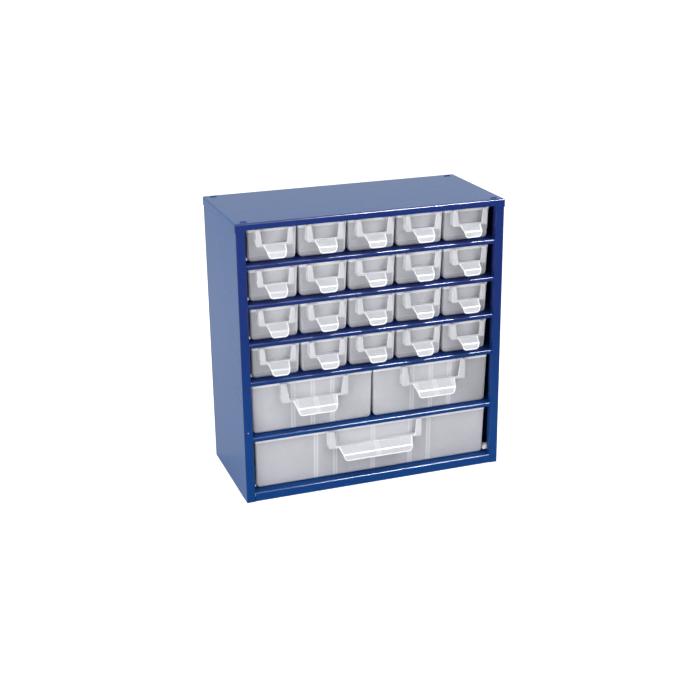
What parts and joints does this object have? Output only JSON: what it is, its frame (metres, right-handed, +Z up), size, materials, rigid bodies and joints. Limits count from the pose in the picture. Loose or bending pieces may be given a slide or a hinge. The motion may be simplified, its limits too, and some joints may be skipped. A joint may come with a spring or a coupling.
{
  "type": "parts bin cabinet",
  "caption": "Steel parts cabinet with rows of translucent sliding bins in several sizes; each bin pulls forward until its stop lugs meet the shelf lip above it.",
  "frame": {"origin": "middle of the footprint on the ground, with the pulls counted in", "axes": "+Z up, the drawers open towards -Y, +X to the right of someone who faces the front"},
  "size_m": [0.306, 0.15, 0.3171],
  "materials": {
    "case_paint": "gloss dark blue enamel on sheet steel",
    "drawer_plastic": "translucent natural polypropylene",
    "guide_nylon": "white nylon",
    "rivet_metal": "dull rivet aluminium"
  },
  "bodies": {
    "case": {"side_panel_left": "case_paint", "side_panel_right": "case_paint", "back_panel": "case_paint", "base_panel": "case_paint", "top_cover": "case_paint", "shelf_1": "case_paint", "shelf_2": "case_paint", "shelf_3": "case_paint", "shelf_4": "case_paint", "shelf_5": "case_paint", "corner_guides": "guide_nylon", "back_rivets": "rivet_metal"},
    "small_drawer_1_1": {"small_drawer_1_1": "drawer_plastic"},
    "small_drawer_1_2": {"small_drawer_1_2": "drawer_plastic"},
    "small_drawer_1_3": {"small_drawer_1_3": "drawer_plastic"},
    "small_drawer_1_4": {"small_drawer_1_4": "drawer_plastic"},
    "small_drawer_1_5": {"small_drawer_1_5": "drawer_plastic"},
    "small_drawer_2_1": {"small_drawer_2_1": "drawer_plastic"},
    "small_drawer_2_2": {"small_drawer_2_2": "drawer_plastic"},
    "small_drawer_2_3": {"small_drawer_2_3": "drawer_plastic"},
    "small_drawer_2_4": {"small_drawer_2_4": "drawer_plastic"},
    "small_drawer_2_5": {"small_drawer_2_5": "drawer_plastic"},
    "small_drawer_3_1": {"small_drawer_3_1": "drawer_plastic"},
    "small_drawer_3_2": {"small_drawer_3_2": "drawer_plastic"},
    "small_drawer_3_3": {"small_drawer_3_3": "drawer_plastic"},
    "small_drawer_3_4": {"small_drawer_3_4": "drawer_plastic"},
    "small_drawer_3_5": {"small_drawer_3_5": "drawer_plastic"},
    "small_drawer_4_1": {"small_drawer_4_1": "drawer_plastic"},
    "small_drawer_4_2": {"small_drawer_4_2": "drawer_plastic"},
    "small_drawer_4_3": {"small_drawer_4_3": "drawer_plastic"},
    "small_drawer_4_4": {"small_drawer_4_4": "drawer_plastic"},
    "small_drawer_4_5": {"small_drawer_4_5": "drawer_plastic"},
    "medium_drawer_1": {"medium_drawer_1": "drawer_plastic"},
    "medium_drawer_2": {"medium_drawer_2": "drawer_plastic"},
    "large_drawer": {"large_drawer": "drawer_plastic"}
  },
  "joints": [
    {"name": "small_drawer_1_1_slide", "type": "slide", "parent": "case", "child": "small_drawer_1_1", "axis": [0, -1, 0], "range_m": [0, 0.1049]},
    {"name": "small_drawer_1_2_slide", "type": "slide", "parent": "case", "child": "small_drawer_1_2", "axis": [0, -1, 0], "range_m": [0, 0.1049]},
    {"name": "small_drawer_1_3_slide", "type": "slide", "parent": "case", "child": "small_drawer_1_3", "axis": [0, -1, 0], "range_m": [0, 0.1049]},
    {"name": "small_drawer_1_4_slide", "type": "slide", "parent": "case", "child": "small_drawer_1_4", "axis": [0, -1, 0], "range_m": [0, 0.1049]},
    {"name": "small_drawer_1_5_slide", "type": "slide", "parent": "case", "child": "small_drawer_1_5", "axis": [0, -1, 0], "range_m": [0, 0.1049]},
    {"name": "small_drawer_2_1_slide", "type": "slide", "parent": "case", "child": "small_drawer_2_1", "axis": [0, -1, 0], "range_m": [0, 0.1049]},
    {"name": "small_drawer_2_2_slide", "type": "slide", "parent": "case", "child": "small_drawer_2_2", "axis": [0, -1, 0], "range_m": [0, 0.1049]},
    {"name": "small_drawer_2_3_slide", "type": "slide", "parent": "case", "child": "small_drawer_2_3", "axis": [0, -1, 0], "range_m": [0, 0.1049]},
    {"name": "small_drawer_2_4_slide", "type": "slide", "parent": "case", "child": "small_drawer_2_4", "axis": [0, -1, 0], "range_m": [0, 0.1049]},
    {"name": "small_drawer_2_5_slide", "type": "slide", "parent": "case", "child": "small_drawer_2_5", "axis": [0, -1, 0], "range_m": [0, 0.1049]},
    {"name": "small_drawer_3_1_slide", "type": "slide", "parent": "case", "child": "small_drawer_3_1", "axis": [0, -1, 0], "range_m": [0, 0.1049]},
    {"name": "small_drawer_3_2_slide", "type": "slide", "parent": "case", "child": "small_drawer_3_2", "axis": [0, -1, 0], "range_m": [0, 0.1049]},
    {"name": "small_drawer_3_3_slide", "type": "slide", "parent": "case", "child": "small_drawer_3_3", "axis": [0, -1, 0], "range_m": [0, 0.1049]},
    {"name": "small_drawer_3_4_slide", "type": "slide", "parent": "case", "child": "small_drawer_3_4", "axis": [0, -1, 0], "range_m": [0, 0.1049]},
    {"name": "small_drawer_3_5_slide", "type": "slide", "parent": "case", "child": "small_drawer_3_5", "axis": [0, -1, 0], "range_m": [0, 0.1049]},
    {"name": "small_drawer_4_1_slide", "type": "slide", "parent": "case", "child": "small_drawer_4_1", "axis": [0, -1, 0], "range_m": [0, 0.1049]},
    {"name": "small_drawer_4_2_slide", "type": "slide", "parent": "case", "child": "small_drawer_4_2", "axis": [0, -1, 0], "range_m": [0, 0.1049]},
    {"name": "small_drawer_4_3_slide", "type": "slide", "parent": "case", "child": "small_drawer_4_3", "axis": [0, -1, 0], "range_m": [0, 0.1049]},
    {"name": "small_drawer_4_4_slide", "type": "slide", "parent": "case", "child": "small_drawer_4_4", "axis": [0, -1, 0], "range_m": [0, 0.1049]},
    {"name": "small_drawer_4_5_slide", "type": "slide", "parent": "case", "child": "small_drawer_4_5", "axis": [0, -1, 0], "range_m": [0, 0.1049]},
    {"name": "medium_drawer_1_slide", "type": "slide", "parent": "case", "child": "medium_drawer_1", "axis": [0, -1, 0], "range_m": [0, 0.1049]},
    {"name": "medium_drawer_2_slide", "type": "slide", "parent": "case", "child": "medium_drawer_2", "axis": [0, -1, 0], "range_m": [0, 0.1049]},
    {"name": "large_drawer_slide", "type": "slide", "parent": "case", "child": "large_drawer", "axis": [0, -1, 0], "range_m": [0, 0.1049]}
  ]
}
